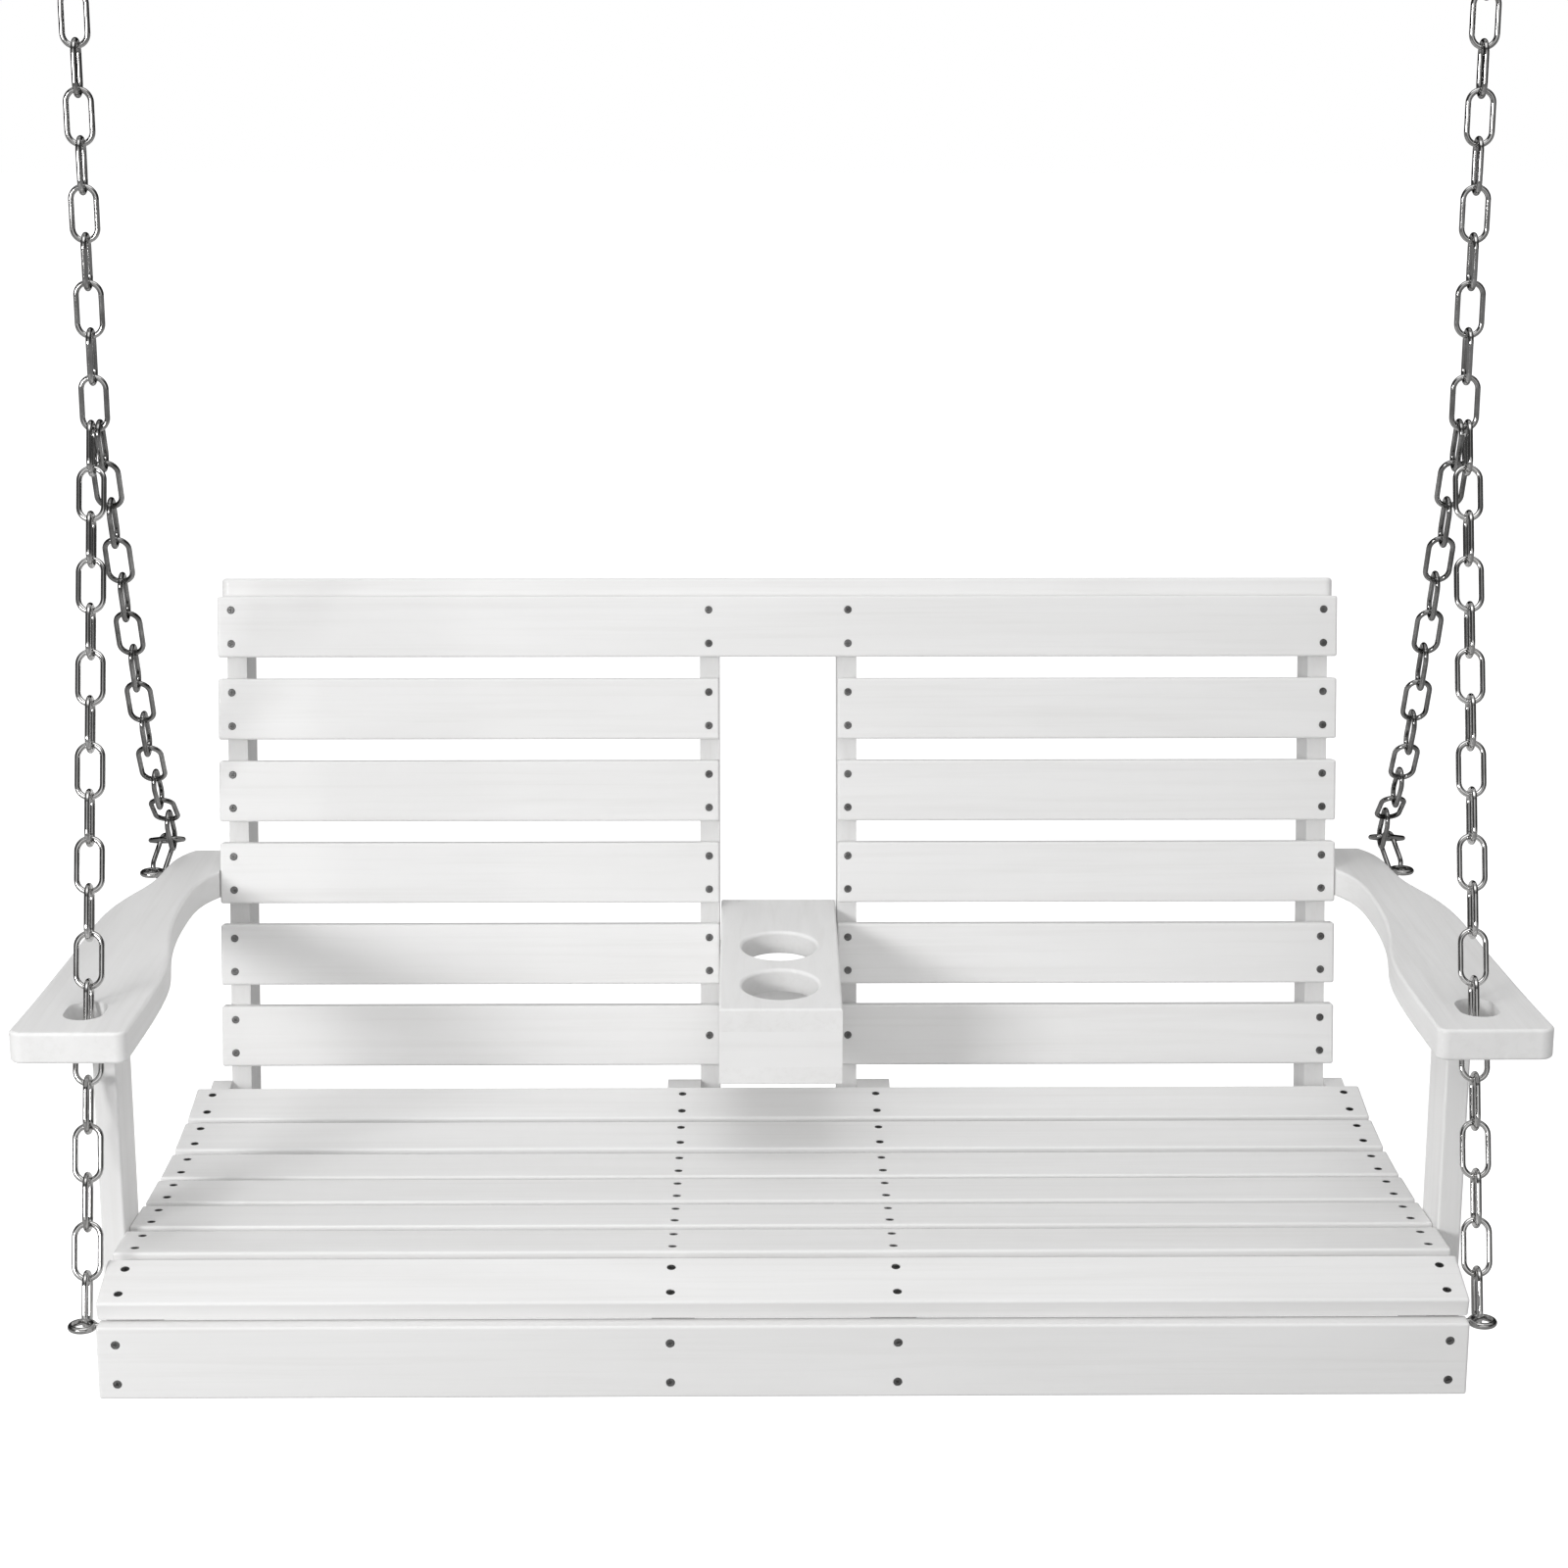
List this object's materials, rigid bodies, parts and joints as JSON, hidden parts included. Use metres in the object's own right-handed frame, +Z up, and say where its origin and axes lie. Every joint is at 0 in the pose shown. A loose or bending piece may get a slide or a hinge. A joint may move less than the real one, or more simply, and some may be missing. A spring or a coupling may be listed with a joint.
{
  "type": "porch swing seat",
  "caption": "Slatted two-place hanging porch swing seat with arms, chain hangers and a fold-up centre console with cup holes.",
  "frame": {"origin": "midway between the two ceiling hook shanks, in the plane of the ceiling that their flanges bear on", "axes": "+Z up along the hook shanks, +X to the viewer's right seen from the front, the seat faces -Y"},
  "size_m": [1.3804, 0.7507, 1.3613],
  "materials": {
    "white_paint": "white painted softwood, satin",
    "chain_steel": "bright zinc plated welded chain",
    "eye_steel": "bright zinc plated",
    "screw_steel": "dull grey plated",
    "bolt_steel": "zinc plated"
  },
  "bodies": {
    "ceiling_hooks": {"ceiling_hook_left": "eye_steel", "ceiling_hook_right": "eye_steel"},
    "upper_chains": {"upper_chain_left": "chain_steel", "upper_chain_right": "chain_steel"},
    "seat": {"apron_screws": "screw_steel", "arm_post_bolts": "bolt_steel", "arm_post_left": "white_paint", "arm_post_right": "white_paint", "armrest_left": "white_paint", "armrest_right": "white_paint", "back_cap": "white_paint", "back_screws": "screw_steel", "back_slat_2_left": "white_paint", "back_slat_2_right": "white_paint", "back_slat_3_left": "white_paint", "back_slat_3_right": "white_paint", "back_slat_4_left": "white_paint", "back_slat_4_right": "white_paint", "back_slat_5_left": "white_paint", "back_slat_5_right": "white_paint", "back_slat_6_left": "white_paint", "back_slat_6_right": "white_paint", "back_slat_top": "white_paint", "console_pivot_bolts": "bolt_steel", "eye_bolt_front_left": "eye_steel", "eye_bolt_front_right": "eye_steel", "eye_bolt_rear_left": "eye_steel", "eye_bolt_rear_right": "eye_steel", "frame_bolts": "bolt_steel", "front_apron": "white_paint", "front_chain_left": "chain_steel", "front_chain_right": "chain_steel", "rear_chain_left": "chain_steel", "rear_chain_right": "chain_steel", "seat_rail_inner_left": "white_paint", "seat_rail_inner_right": "white_paint", "seat_rail_outer_left": "white_paint", "seat_rail_outer_right": "white_paint", "seat_screws": "screw_steel", "seat_slat_1": "white_paint", "seat_slat_2": "white_paint", "seat_slat_3": "white_paint", "seat_slat_4": "white_paint", "seat_slat_5": "white_paint", "seat_slat_6": "white_paint", "seat_slat_7": "white_paint", "upright_inner_left": "white_paint", "upright_inner_right": "white_paint", "upright_outer_left": "white_paint", "upright_outer_right": "white_paint"},
    "console": {"console_top": "white_paint", "console_bottom": "white_paint", "console_front": "white_paint", "console_side_left": "white_paint", "console_side_right": "white_paint"}
  },
  "joints": [
    {"name": "swing", "type": "hinge", "parent": "ceiling_hooks", "child": "upper_chains", "pos_m": [0, 0, -0.05], "axis": [1, 0, 0], "range_deg": [-25, 25]},
    {"name": "seat_pitch", "type": "hinge", "parent": "upper_chains", "child": "seat", "pos_m": [0, 0, -0.48453], "axis": [1, 0, 0], "range_deg": [-10, 10]},
    {"name": "console_fold", "type": "hinge", "parent": "seat", "child": "console", "pos_m": [0, 0.27588, -1.07214], "axis": [-1, 0, 0], "range_deg": [0, 105]}
  ]
}
